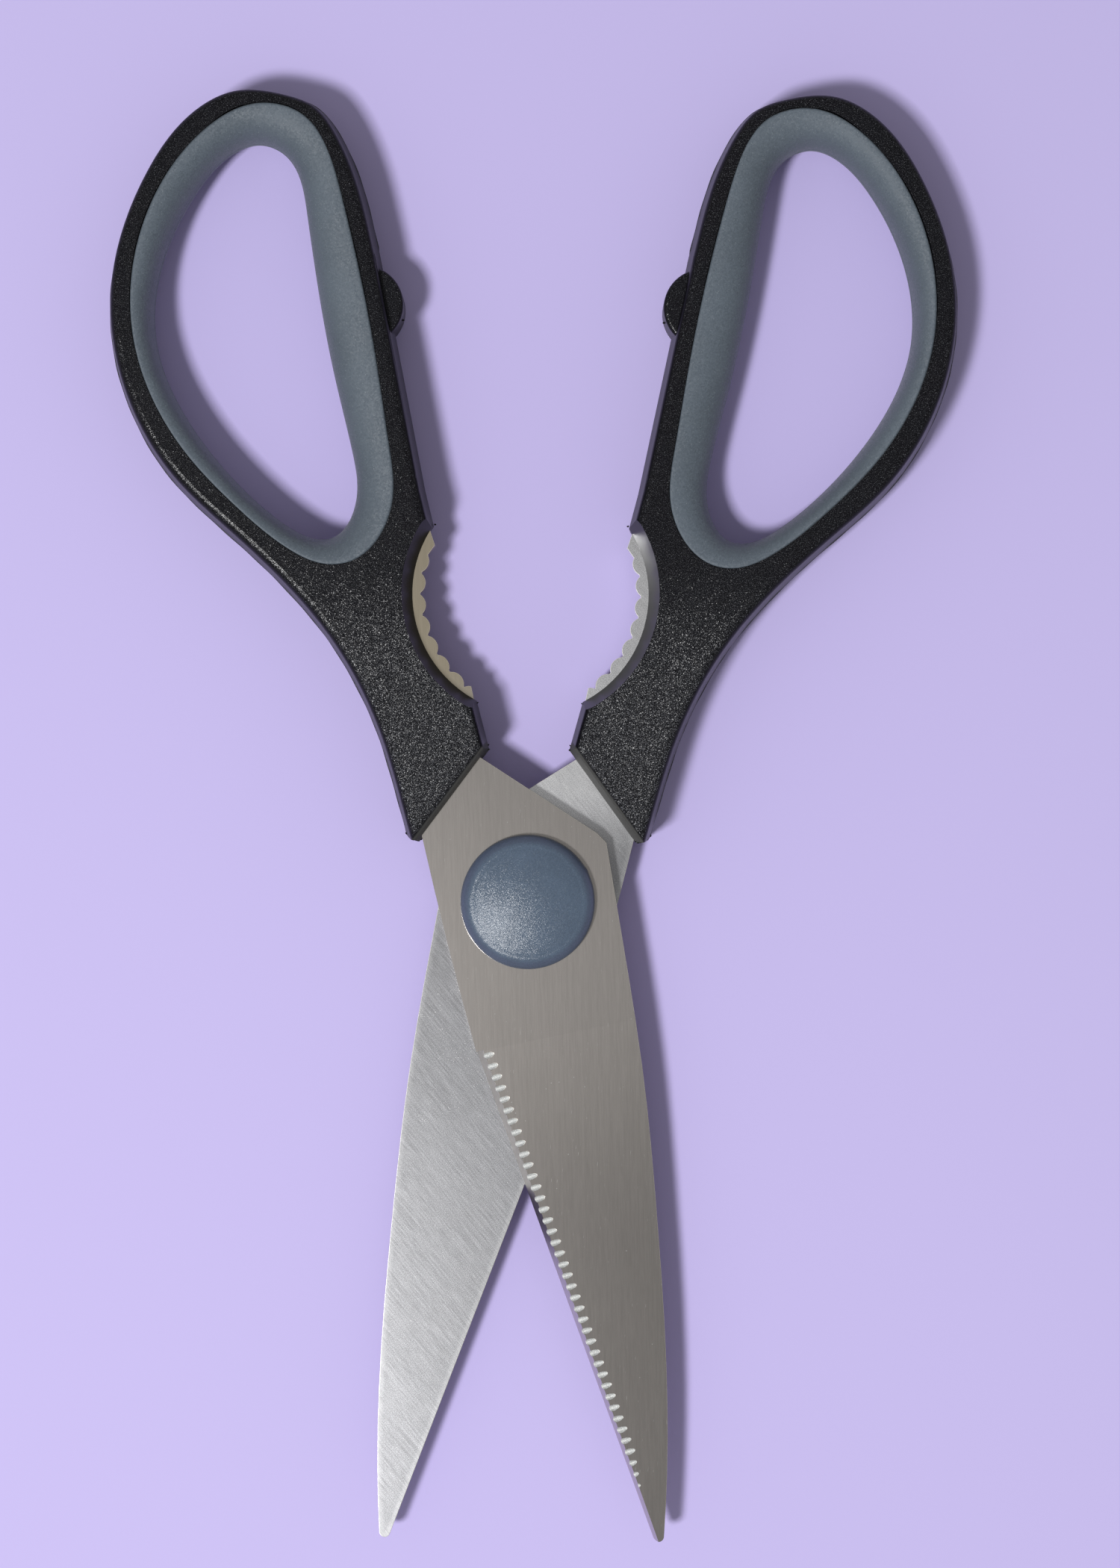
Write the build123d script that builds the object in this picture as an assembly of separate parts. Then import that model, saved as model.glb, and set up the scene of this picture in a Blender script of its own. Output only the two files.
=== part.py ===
from build123d import *
import math
import os

# Kitchen shears, in millimetres and degrees. They lie open on a table at Z = 0, with the pivot on the Z axis.
# Each half is drawn closed, handle towards +Y and left of the Y axis, with its middle plane at Z = 0.
# The front half lies on top. The rear half is the same shape turned over about the Y axis.

# Whole shears
OPEN_ANGLE = 24.4
HANDLE_THICKNESS = 12.0
OVERRUN = 2.0

# Blades
BLADE_REACH = 92.8
BLADE_HALF_WIDTH = 12.6
BLADE_THICKNESS = 2.5
TIP_THICKNESS = 1.4
RIDE_GAP = 0.1
BEVEL_WIDTH = 1.05
EDGE_LAND = 0.3
BLADE_SIDE_SHARE = (-0.990, 0.010)
EDGE_HEEL_SHARE = (-0.905, -0.209)
EDGE_END_SHARE = (-0.060, -0.992)
TIP_SHARE = (0.0, -1.0)
SPINE_SHARES = (
    (0.0627, -0.9933),
    (0.413, -0.787),
    (0.722, -0.501),
    (0.865, -0.323),
    (0.976, -0.022),
    (1.000, 0.064),
)
HEEL_SHARE = (0.920, 0.081)

# Notches along the front blade's edge
NOTCH_COUNT = 40
NOTCH_PITCH = 1.66
NOTCH_RADIUS = 0.48
NOTCH_DEPTH = 0.42
NOTCH_SLOPE = 20.0
NOTCH_START = 1.0
NOTCH_FADE_COUNT = 3

# Tangs
TANG_SHARES = (
    (-0.305, 0.120),
    (-0.307, 0.165),
    (-0.329, 0.231),
    (-0.371, 0.298),
    (-0.429, 0.351),
    (-0.464, 0.384),
    (-0.381, 0.410),
    (-0.250, 0.424),
    (-0.167, 0.450),
    (-0.119, 0.500),
    (-0.095, 0.500),
    (-0.079, 0.450),
    (-0.062, 0.240),
    (-0.062, 0.178),
)
TANG_HOLE_RADIUS = 2.5
TANG_HOLE_SHARES = ((-0.190, 0.200), (-0.305, 0.335))

# Toothed jaws
JAW_HEIGHT_SHARE = 0.352
JAW_DEPTH = 7.55
JAW_RELIEF_RADIUS = 17.15
JAW_FLARE = 1.4
JAW_STEEL_SHOWING = 1.85
TOOTH_COUNT = 8
TOOTH_PITCH = 2.87
TOOTH_ARC_RADIUS = 16.6
TOOTH_ROUND = 1.75
TOOTH_DEPTH = 0.7
FIRST_TOOTH_ANGLE = 154.4
HOOK_SHARES = ((-0.095, 0.421), (-0.064, 0.431), (-0.071, 0.452), (-0.119, 0.450))
END_TOOTH_SHARE = -0.040

# Handles
HANDLE_REACH = 121.0
HANDLE_SPAN = 42.0
HANDLE_DRAFT = 0.75
HANDLE_ROUND = 1.2
HANDLE_CORNER_RADIUS = 1.5
HANDLE_CURVE_SHARES = (
    (-0.352, 0.083),
    (-0.363, 0.149),
    (-0.379, 0.215),
    (-0.483, 0.347),
    (-0.750, 0.496),
    (-0.881, 0.562),
    (-0.974, 0.793),
    (-0.767, 0.927),
    (-0.607, 0.978),
    (-0.410, 1.000),
    (-0.243, 0.983),
    (-0.152, 0.962),
    (-0.098, 0.926),
    (-0.052, 0.826),
    (-0.049, 0.777),
)
HANDLE_CORNER_SHARES = ((-0.060, 0.496), (-0.033, 0.248), (-0.024, 0.184))

# Stop bumps
BUMP_RADIUS = 5.55
BUMP_THICKNESS = 8.0
BUMP_ROUND = 0.6
BUMP_GAP = 0.1
BUMP_HEIGHT_SHARE = 0.722

# Soft linings of the finger loops: the seam against the handle, and the opening at mid height
GRIP_STEP = 0.1
GRIP_RIB_THICKNESS = 2.4
GRIP_RIB_SHARE = 0.6
GRIP_LAND_SHARE = 0.97
GRIP_BULGE = 2.3
GRIP_LEVEL_SHARES = (-1.03, -0.85, -0.55, 0.0, 0.55, 0.85, 1.03)
SEAM_SHARES = (
    (-0.352, 0.975),
    (-0.212, 0.954),
    (-0.131, 0.855),
    (-0.129, 0.645),
    (-0.143, 0.554),
    (-0.176, 0.484),
    (-0.348, 0.430),
    (-0.440, 0.433),
    (-0.543, 0.457),
    (-0.695, 0.521),
    (-0.819, 0.591),
    (-0.914, 0.740),
    (-0.662, 0.926),
    (-0.512, 0.962),
)
OPENING_SHARES = (
    (-0.376, 0.936),
    (-0.295, 0.917),
    (-0.262, 0.843),
    (-0.281, 0.645),
    (-0.274, 0.554),
    (-0.293, 0.504),
    (-0.400, 0.465),
    (-0.467, 0.469),
    (-0.531, 0.485),
    (-0.643, 0.531),
    (-0.752, 0.595),
    (-0.850, 0.740),
    (-0.595, 0.903),
    (-0.483, 0.930),
)

# Pivot: screw, washer, spring, nut
SHANK_RADIUS = 3.0
SHANK_CLEARANCE = 0.05
NECK_RADIUS = 3.25
NECK_FLATS = 5.4
NECK_CLEARANCE = 0.03
THREAD_RADIUS = 2.5
THREAD_CLEARANCE = 0.02
THREAD_CHAMFER = 0.4
STACK_RADIUS = 6.6
SCREW_HEAD_THICKNESS = 1.7
RIM_CHAMFER = 0.4
STACK_GAP = 0.05
WASHER_THICKNESS = 0.3
SPRING_THICKNESS = 0.35
SPRING_RISE = 0.3
RING_CLEARANCE = 0.2
SPANNER_SLOT_WIDTH = 1.2
SPANNER_SLOT_DEPTH = 0.6

# Pivot caps
CAP_RADIUS = 9.5
CAP_CREASE_RADIUS = 7.8
CAP_SKIRT = 0.7
CAP_CROWN = 0.9
CAP_SHOULDER_BULGE = 0.3
CAP_WALL = 0.9
CAP_FIT = 0.1
CAP_BEAD = 0.15

# Derived sizes
HANDLE_HALF = HANDLE_THICKNESS / 2
BLADE_BOTTOM = RIDE_GAP / 2
BLADE_TOP = BLADE_BOTTOM + BLADE_THICKNESS
JAW_HEIGHT = JAW_HEIGHT_SHARE * HANDLE_REACH
TOOTH_ARC_X = TOOTH_ARC_RADIUS - JAW_DEPTH + JAW_STEEL_SHOWING
GRIP_HALF = HANDLE_HALF - GRIP_STEP
OUTER_HEIGHT = HANDLE_HALF - BLADE_TOP
CAVITY_RADIUS = STACK_RADIUS + CAP_FIT
WASHER_TOP = STACK_GAP + WASHER_THICKNESS
SPRING_TOP = WASHER_TOP + SPRING_RISE + SPRING_THICKNESS
NUT_TOP = OUTER_HEIGHT - CAP_WALL - STACK_GAP
RING_BORE = SHANK_RADIUS + RING_CLEARANCE


def blade_point(share):
    """A point of the blade outline, from its shares of the half width and the reach."""
    return (share[0] * BLADE_HALF_WIDTH, share[1] * BLADE_REACH)


def handle_point(share):
    """A point of the handle outline, from its shares of the span and the reach."""
    return (share[0] * HANDLE_SPAN, share[1] * HANDLE_REACH)


def inset(points, distance):
    """A clockwise closed outline moved inwards by a distance, each point along its own mitre."""
    moved = []
    for index, here in enumerate(points):
        before = points[index - 1]
        after = points[(index + 1) % len(points)]
        arriving = Vector(here[0] - before[0], here[1] - before[1]).normalized()
        leaving = Vector(after[0] - here[0], after[1] - here[1]).normalized()
        mitre = Vector(arriving.Y + leaving.Y, -arriving.X - leaving.X)
        step = 2 * distance / mitre.length**2
        moved.append((here[0] + mitre.X * step, here[1] + mitre.Y * step))
    return moved


def between(share):
    """The loop outline that lies a share of the way from the opening out to the seam."""
    points = []
    for opening, seam in zip(OPENING_SHARES, SEAM_SHARES):
        inner = Vector(*handle_point(opening))
        outer = Vector(*handle_point(seam))
        points.append(inner + (outer - inner) * share)
    return points


def loop_prism(share, half_height):
    """A straight prism through the finger loop, centred on the middle plane."""
    outline = Spline(*between(share), periodic=True)
    return extrude(make_face(outline), amount=half_height, both=True)


def blade_outline():
    """The blade from its tip to just inside the handle, as a flat face."""
    edge_heel = blade_point(EDGE_HEEL_SHARE)
    edge_end = blade_point(EDGE_END_SHARE)
    spine = [blade_point(share) for share in SPINE_SHARES]
    root_outer = handle_point(TANG_SHARES[1])
    root_inner = handle_point(TANG_SHARES[-1])
    outline = ThreePointArc(root_outer, blade_point(BLADE_SIDE_SHARE), edge_heel)
    outline += Line(edge_heel, edge_end)
    outline += ThreePointArc(edge_end, blade_point(TIP_SHARE), spine[0])
    outline += Spline(*spine)
    outline += Polyline(spine[-1], blade_point(HEEL_SHARE), root_inner, root_outer)
    return make_face(outline)


def tooth_centre(angle, radius):
    """A point on a circle about the middle of the toothed arc."""
    turn = math.radians(angle)
    return (TOOTH_ARC_X + radius * math.cos(turn), JAW_HEIGHT + radius * math.sin(turn))


def tang_outline():
    """The tang inside the handle, with the toothed jaw and its overmould holes, as a flat face."""
    tang = make_face(Polyline(*[handle_point(share) for share in TANG_SHARES], close=True))
    root_radius = TOOTH_ARC_RADIUS + TOOTH_DEPTH
    tang -= Pos(TOOTH_ARC_X, JAW_HEIGHT) * Circle(root_radius)
    step = math.degrees(TOOTH_PITCH / TOOTH_ARC_RADIUS)
    for index in range(TOOTH_COUNT):
        centre = tooth_centre(FIRST_TOOTH_ANGLE + index * step, TOOTH_ARC_RADIUS + TOOTH_ROUND)
        tang += Pos(*centre) * Circle(TOOTH_ROUND)
    tang += make_face(Polyline(*[handle_point(share) for share in HOOK_SHARES], close=True))
    end_width = 2 * TOOTH_ROUND
    end_middle = (END_TOOTH_SHARE * HANDLE_SPAN + end_width / 2, JAW_HEIGHT)
    tang -= Pos(*end_middle) * Rectangle(end_width, 2 * JAW_HEIGHT)
    for share in TANG_HOLE_SHARES:
        tang -= Pos(*handle_point(share)) * Circle(TANG_HOLE_RADIUS)
    return tang


def edge_frame():
    """The heel of the cutting edge, the direction along the edge and the direction into the blade."""
    heel = Vector(*blade_point(EDGE_HEEL_SHARE))
    end = Vector(*blade_point(EDGE_END_SHARE))
    along = (end - heel).normalized()
    inwards = Vector(-along.Y, along.X)
    return heel, along, inwards, (end - heel).length


def face_height(reach):
    """Height of the blade's outer face at a distance below the pivot, thinner towards the tip."""
    start = -blade_point(EDGE_HEEL_SHARE)[1]
    fall = (BLADE_THICKNESS - TIP_THICKNESS) * (reach - start) / (BLADE_REACH - start)
    return BLADE_TOP - max(fall, 0)


def bevel_tool():
    """The wedge that the grinding of the cutting edge takes off the outer face."""
    heel, along, inwards, length = edge_frame()
    slope = (BLADE_THICKNESS - EDGE_LAND) / BEVEL_WIDTH
    section = Polyline(
        (-OVERRUN, BLADE_BOTTOM + EDGE_LAND),
        (0, BLADE_BOTTOM + EDGE_LAND),
        (BEVEL_WIDTH + OVERRUN, BLADE_TOP + slope * OVERRUN),
        (-OVERRUN, BLADE_TOP + slope * OVERRUN),
        close=True,
    )
    plane = Plane(origin=heel, x_dir=inwards, z_dir=along)
    return extrude(plane * make_face(section), amount=length + OVERRUN)


def taper_tool():
    """The thin wedge that takes the outer face down towards the tip."""
    start = -blade_point(EDGE_HEEL_SHARE)[1]
    end = BLADE_REACH + OVERRUN
    section = Polyline(
        (-start, BLADE_TOP),
        (-end, face_height(end)),
        (-end, BLADE_TOP + OVERRUN),
        (-start, BLADE_TOP + OVERRUN),
        close=True,
    )
    width = BLADE_HALF_WIDTH + OVERRUN
    return extrude(Plane.YZ * make_face(section), amount=width, both=True)


def notch_tools():
    """One sloping round cutter for each notch, across the corner between the outer face and the bevel."""
    heel, along, inwards, _ = edge_frame()
    slope = (BLADE_THICKNESS - EDGE_LAND) / BEVEL_WIDTH
    tilt = math.radians(NOTCH_SLOPE)
    tools = []
    for index in range(NOTCH_COUNT):
        on_edge = heel + along * (NOTCH_START + index * NOTCH_PITCH)
        top = face_height(-on_edge.Y)
        corner = on_edge + inwards * ((top - BLADE_BOTTOM - EDGE_LAND) / slope) + Vector(0, 0, top)
        fade = min((NOTCH_COUNT - index) / (NOTCH_FADE_COUNT + 1), 1)
        axis = inwards * math.cos(tilt) + Vector(0, 0, math.sin(tilt))
        lift = Vector(0, 0, math.cos(tilt)) - inwards * math.sin(tilt)
        centre = corner + lift * (NOTCH_RADIUS - NOTCH_DEPTH * fade)
        start = Plane(origin=centre - axis * OVERRUN, z_dir=axis)
        tools.append(start * Cylinder(NOTCH_RADIUS, 2 * OVERRUN, align=(Align.CENTER, Align.CENTER, Align.MIN)))
    return tools


def blade(bore, notched):
    """One blade with its tang: a flat plate, ground to its edge and thinned towards the tip."""
    outline = blade_outline() + tang_outline()
    plate = Pos(0, 0, BLADE_BOTTOM) * extrude(outline, amount=BLADE_THICKNESS)
    plate -= taper_tool()
    plate -= bevel_tool()
    plate -= bore
    if notched:
        plate -= notch_tools()
    return plate


def handle_wire(distance, height):
    """The handle's outline, drawn in by a distance and raised to a height."""
    points = [handle_point(share) for share in HANDLE_CURVE_SHARES + HANDLE_CORNER_SHARES]
    drawn_in = [(x, y, height) for x, y in inset(points, distance)]
    curved = len(HANDLE_CURVE_SHARES)
    outline = Spline(*drawn_in[:curved]) + Polyline(*drawn_in[curved - 1:], drawn_in[0])
    return Wire(outline.edges())


def handle_body():
    """The handle without its cut-outs: drafted walls either side of the middle plane, rounded rims."""
    upper = Solid.make_loft([handle_wire(0, 0), handle_wire(HANDLE_DRAFT, HANDLE_HALF)], ruled=True)
    body = upper + mirror(upper, Plane.XY)
    faces = body.faces().sort_by(Axis.Z)
    return fillet(faces[0].edges() + faces[-1].edges(), HANDLE_ROUND)


def corner_cut():
    """What rounds off the handle's lower corner, seen from above: a block less a round rod inside the corner."""
    corner = Vector(*handle_point(HANDLE_CURVE_SHARES[0]))
    along_wall = (Vector(*handle_point(HANDLE_CURVE_SHARES[1])) - corner).normalized()
    along_end = (Vector(*handle_point(HANDLE_CORNER_SHARES[-1])) - corner).normalized()
    inwards = (along_wall + along_end).normalized()
    sine = math.sin(math.radians(along_wall.get_angle(along_end) / 2))
    centre = corner + inwards * (HANDLE_CORNER_RADIUS / sine)
    chord = centre - inwards * (HANDLE_CORNER_RADIUS * sine)
    plane = Plane(origin=chord, x_dir=-inwards, z_dir=(0, 0, 1))
    size = HANDLE_CORNER_RADIUS / sine + OVERRUN
    block = plane * Box(size, 2 * size, HANDLE_THICKNESS, align=(Align.MIN, Align.CENTER, Align.CENTER))
    return block - Pos(centre.X, centre.Y) * Cylinder(HANDLE_CORNER_RADIUS, HANDLE_THICKNESS)


def stop_bump():
    """The round stop on the handle's inner edge, which meets its twin when the shears close."""
    bump = Cylinder(BUMP_RADIUS, BUMP_THICKNESS)
    bump = fillet(bump.edges().filter_by(GeomType.CIRCLE), BUMP_ROUND)
    return Pos(-BUMP_RADIUS - BUMP_GAP / 2, BUMP_HEIGHT_SHARE * HANDLE_REACH) * bump


def jaw_relief():
    """The round cut-out that bares the jaw: straight at the steel and flared towards both faces."""
    mouth = JAW_RELIEF_RADIUS + JAW_FLARE
    profile = Polyline(
        (0, HANDLE_THICKNESS),
        (mouth, HANDLE_THICKNESS),
        (mouth, HANDLE_HALF),
        (JAW_RELIEF_RADIUS, BLADE_TOP),
        (JAW_RELIEF_RADIUS, BLADE_BOTTOM),
        (mouth, -HANDLE_HALF),
        (mouth, -HANDLE_THICKNESS),
        (0, -HANDLE_THICKNESS),
        close=True,
    )
    relief = revolve(Plane.XZ * make_face(profile), Axis.Z)
    return Pos(JAW_RELIEF_RADIUS - JAW_DEPTH, JAW_HEIGHT) * relief


def grip_rib():
    """The rib of hard plastic that stands into the soft lining and holds it."""
    half = GRIP_RIB_THICKNESS / 2
    return loop_prism(1, half) - loop_prism(GRIP_RIB_SHARE, half)


def handle(steel):
    """The hard handle, moulded round its tang."""
    body = handle_body() + stop_bump() - corner_cut()
    body -= loop_prism(1, HANDLE_THICKNESS)
    body += grip_rib()
    body -= jaw_relief()
    return body - steel


def finger_opening():
    """The space inside the lining: narrow at mid height, wider towards both faces and just past them."""
    sections = []
    for level in GRIP_LEVEL_SHARES:
        rise = 1 - (1 - min(abs(level), 1) ** GRIP_BULGE) ** (1 / GRIP_BULGE)
        outline = [
            (point.X, point.Y, level * GRIP_HALF) for point in between(min(rise, GRIP_LAND_SHARE))
        ]
        sections.append(Wire([Spline(*outline, periodic=True).edge()]))
    return Solid.make_loft(sections)


def grip():
    """The soft lining of the finger loop, seated on the handle's rib."""
    return loop_prism(1, GRIP_HALF) - finger_opening() - grip_rib()


def rod(radius, bottom, top):
    """An upright round rod on the pivot axis."""
    return Pos(0, 0, bottom) * extrude(Circle(radius), amount=top - bottom)


def ring(outer, inner, bottom, top):
    """A flat ring about the pivot."""
    return rod(outer, bottom, top) - rod(inner, bottom, top)


def keyed_neck(clearance, bottom, top):
    """A round neck with two flats, which the rear blade's hole keeps from turning."""
    section = Circle(NECK_RADIUS + clearance)
    section &= Rectangle(2 * (NECK_RADIUS + clearance), NECK_FLATS + 2 * clearance)
    return Pos(0, 0, bottom) * extrude(section, amount=top - bottom)


def pivot_screw():
    """Flat head under the rear blade, keyed neck, plain shank in the front blade, thread for the nut."""
    head = rod(STACK_RADIUS, -BLADE_TOP - SCREW_HEAD_THICKNESS, -BLADE_TOP)
    head = chamfer(head.edges().filter_by(GeomType.CIRCLE), RIM_CHAMFER)
    neck = keyed_neck(0, -BLADE_TOP, -BLADE_BOTTOM)
    shank = rod(SHANK_RADIUS, -BLADE_BOTTOM, BLADE_TOP + SPRING_TOP)
    thread = rod(THREAD_RADIUS, BLADE_TOP + SPRING_TOP, BLADE_TOP + NUT_TOP)
    thread = chamfer(thread.edges().sort_by(Axis.Z)[-1], THREAD_CHAMFER)
    return head + neck + shank + thread


def thrust_washer():
    """The flat washer that the front blade turns against."""
    return Pos(0, 0, BLADE_TOP) * ring(STACK_RADIUS - RING_CLEARANCE, RING_BORE, STACK_GAP, WASHER_TOP)


def disc_spring():
    """The dished washer that keeps the two blades pressed together."""
    outer = STACK_RADIUS - RING_CLEARANCE
    section = Polyline(
        (outer, WASHER_TOP),
        (outer, WASHER_TOP + SPRING_THICKNESS),
        (RING_BORE, SPRING_TOP),
        (RING_BORE, SPRING_TOP - SPRING_THICKNESS),
        close=True,
    )
    return Pos(0, 0, BLADE_TOP) * revolve(Plane.XZ * make_face(section), Axis.Z)


def pivot_nut():
    """The round nut, with a slot across it for a spanner."""
    nut = ring(STACK_RADIUS, THREAD_RADIUS + THREAD_CLEARANCE, SPRING_TOP, NUT_TOP)
    rims = nut.edges().filter_by(GeomType.CIRCLE).group_by(SortBy.RADIUS)[-1]
    nut = chamfer(rims, RIM_CHAMFER / 2)
    slot = Pos(0, 0, NUT_TOP) * Box(2 * CAP_RADIUS, SPANNER_SLOT_WIDTH, 2 * SPANNER_SLOT_DEPTH)
    return Pos(0, 0, BLADE_TOP) * (nut - slot)


def cap(height, crown, cavity_depth, bead_height):
    """A pivot cap, open below: upright skirt, rounded shoulder, crease, and a crown or a flat."""
    crease_height = height - crown
    shoulder = (
        (CAP_RADIUS + CAP_CREASE_RADIUS) / 2 + CAP_SHOULDER_BULGE,
        (CAP_SKIRT + crease_height) / 2 + CAP_SHOULDER_BULGE,
    )
    outline = Polyline((0, 0), (CAP_RADIUS, 0), (CAP_RADIUS, CAP_SKIRT))
    outline += ThreePointArc((CAP_RADIUS, CAP_SKIRT), shoulder, (CAP_CREASE_RADIUS, crease_height))
    if crown > 0:
        sphere_radius = (CAP_CREASE_RADIUS**2 + crown**2) / (2 * crown)
        half_way = CAP_CREASE_RADIUS / 2
        half_height = height - sphere_radius + math.sqrt(sphere_radius**2 - half_way**2)
        outline += ThreePointArc((CAP_CREASE_RADIUS, crease_height), (half_way, half_height), (0, height))
    else:
        outline += Line((CAP_CREASE_RADIUS, height), (0, height))
    outline += Line((0, height), (0, 0))
    shell = revolve(Plane.XZ * make_face(outline), Axis.Z)
    shell -= rod(CAVITY_RADIUS, 0, cavity_depth)
    bead = ring(CAVITY_RADIUS, CAVITY_RADIUS - CAP_BEAD, 0, bead_height)
    return shell + bead


def front_cap():
    """The domed cap over the nut."""
    height = OUTER_HEIGHT - STACK_GAP
    shell = cap(height, CAP_CROWN, height - CAP_WALL, WASHER_TOP - STACK_GAP)
    return Pos(0, 0, BLADE_TOP + STACK_GAP) * shell


def rear_cap():
    """The cap over the screw head, flat below so that the shears lie level."""
    shell = cap(OUTER_HEIGHT, 0, SCREW_HEAD_THICKNESS, RIM_CHAMFER - CAP_BEAD)
    return Pos(0, 0, -BLADE_TOP) * Rot(180, 0, 0) * shell


def place_front(piece):
    """Swing a piece of the front half open and lift it to its height above the table."""
    return Pos(0, 0, HANDLE_HALF) * Rot(0, 0, OPEN_ANGLE / 2) * piece


def place_rear(piece):
    """Swing a piece of the rear half open the other way and lift it."""
    return Pos(0, 0, HANDLE_HALF) * Rot(0, 0, -OPEN_ANGLE / 2) * piece


def turned_over(piece):
    """The same piece as it lies in the rear half."""
    return Rot(0, 180, 0) * piece


def build_shears():
    """Every piece of the shears by name, where it lies."""
    round_bore = rod(SHANK_RADIUS + SHANK_CLEARANCE, -HANDLE_HALF, HANDLE_HALF)
    keyed_bore = keyed_neck(NECK_CLEARANCE, -HANDLE_HALF, HANDLE_HALF)
    front_steel = blade(round_bore, notched=True)
    rear_steel = blade(keyed_bore, notched=False)
    hard_handle = handle(rear_steel)
    lining = grip()
    return {
        "front_blade": place_front(front_steel),
        "front_handle": place_front(hard_handle),
        "front_grip": place_front(lining),
        "rear_blade": place_rear(turned_over(rear_steel)),
        "rear_handle": place_rear(turned_over(hard_handle)),
        "rear_grip": place_rear(turned_over(lining)),
        "pivot_screw": place_rear(pivot_screw()),
        "thrust_washer": place_rear(thrust_washer()),
        "disc_spring": place_rear(disc_spring()),
        "pivot_nut": place_rear(pivot_nut()),
        "front_cap": place_rear(front_cap()),
        "rear_cap": place_rear(rear_cap()),
    }


os.makedirs("parts", exist_ok=True)
for node, piece in build_shears().items():
    export_step(piece, f"parts/{node}.step")
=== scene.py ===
"""Dresses the kitchen shears: soft finger loops, moulded trim, pivot caps, and the finish of every piece."""

import logging
import math
from dataclasses import dataclass
from enum import Enum
from typing import Any

import bpy
import numpy as np
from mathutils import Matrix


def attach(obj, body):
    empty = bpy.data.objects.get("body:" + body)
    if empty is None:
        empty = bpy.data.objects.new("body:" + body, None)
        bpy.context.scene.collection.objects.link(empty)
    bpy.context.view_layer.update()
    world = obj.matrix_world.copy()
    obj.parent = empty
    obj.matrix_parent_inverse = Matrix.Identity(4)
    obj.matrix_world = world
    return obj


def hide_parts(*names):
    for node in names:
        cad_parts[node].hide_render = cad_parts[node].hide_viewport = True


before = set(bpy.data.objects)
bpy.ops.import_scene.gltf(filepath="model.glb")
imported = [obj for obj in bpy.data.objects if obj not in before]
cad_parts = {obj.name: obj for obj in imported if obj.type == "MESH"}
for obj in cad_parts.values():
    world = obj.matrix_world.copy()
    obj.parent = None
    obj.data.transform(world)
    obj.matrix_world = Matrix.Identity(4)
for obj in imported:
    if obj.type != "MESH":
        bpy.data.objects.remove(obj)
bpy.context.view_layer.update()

LOG = logging.getLogger("kitchen_shears")
MM = 0.001
THICKNESS = 12.0  # over the handles and over the caps, in millimetres

Colour = tuple[float, float, float]
Place = tuple[float, float, float]
Pair = tuple[float, float]
Nib = tuple[Place, Place, float]
Source = Any


# Surfaces


def linked(name: str, data: bpy.types.ID) -> bpy.types.Object:
    """A new object at the origin, linked to the scene.

    Args:
        name: The object's name.
        data: The mesh, light or camera that it holds.

    Returns:
        The object.
    """
    made = bpy.data.objects.new(name, data)
    bpy.context.scene.collection.objects.link(made)
    return made


@dataclass
class Skin:
    """One closed surface on its way into a mesh: its points in metres and its faces in groups of one size."""

    points: np.ndarray
    faces: list[np.ndarray]

    def outwards(self) -> "Skin":
        """Turns every face round where they point inwards.

        Formula: the enclosed volume is a sixth of the triple products of each face's corners, summed over the
        faces; it is below nil where they point inwards.

        Returns:
            This surface, with its faces pointing out.
        """
        volume = 0.0
        for group in self.faces:
            corner = self.points[group]
            for turn in range(1, group.shape[1] - 1):
                side = np.cross(corner[:, turn], corner[:, turn + 1])
                volume += float(np.einsum("ij,ij->", corner[:, 0], side)) / 6.0
        if volume < 0:
            self.faces = [group[:, ::-1] for group in self.faces]
        return self

    def joined(self, other: "Skin") -> "Skin":
        """This surface and another as one, the other's point numbers moved up past this one's."""
        moved = [group + len(self.points) for group in other.faces]
        return Skin(np.concatenate([self.points, other.points]), self.faces + moved)

    def piece(self, name: str, crease: float = 38.0) -> bpy.types.Object:
        """Puts the surface into a new object at the origin, shaded smooth up to a crease angle.

        Args:
            name: The piece's name.
            crease: Angle in degrees between faces from which their edge stays crisp.

        Returns:
            The new object, linked to the scene.
        """
        rows = [row for group in self.faces for row in group.tolist()]
        mesh = bpy.data.meshes.new(name)
        mesh.from_pydata(self.points.tolist(), [], rows)
        mesh.polygons.foreach_set("use_smooth", [True] * len(mesh.polygons))
        mesh.set_sharp_from_angle(angle=math.radians(crease))
        mesh.update()
        return linked(name, mesh)


def grid_faces(rows: int, columns: int, rows_closed: bool) -> np.ndarray:
    """Quads of a grid whose columns are closed; point number is row times columns plus column.

    Args:
        rows: Number of rings.
        columns: Points in each ring.
        rows_closed: Whether the last ring joins the first.

    Returns:
        One row of four point numbers for each quad.
    """
    row = np.arange(rows if rows_closed else rows - 1)[:, None]
    column = np.arange(columns)[None, :]
    below = (row + 1) % rows * columns
    beside = (column + 1) % columns
    here = row * columns
    return np.stack([here + column, here + beside, below + beside, below + column], -1).reshape(-1, 4)


def capped_skin(rings: np.ndarray, first: np.ndarray, last: np.ndarray) -> Skin:
    """A tube closed at both ends by a fan of triangles to a pole.

    Args:
        rings: Points of every ring, as ring by point by axis.
        first: The pole before the first ring.
        last: The pole after the last ring.

    Returns:
        The closed surface.
    """
    rows, columns = rings.shape[:2]
    count = rows * columns
    ring = np.arange(columns)
    ends = ((count, ring[::-1]), (count + 1, ring + count - columns))
    fans = [np.stack([edge, np.roll(edge, -1), np.full_like(edge, pole)], -1) for pole, edge in ends]
    points = np.concatenate([rings.reshape(-1, 3), first[None], last[None]])
    return Skin(points, [grid_faces(rows, columns, False), *fans]).outwards()


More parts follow.
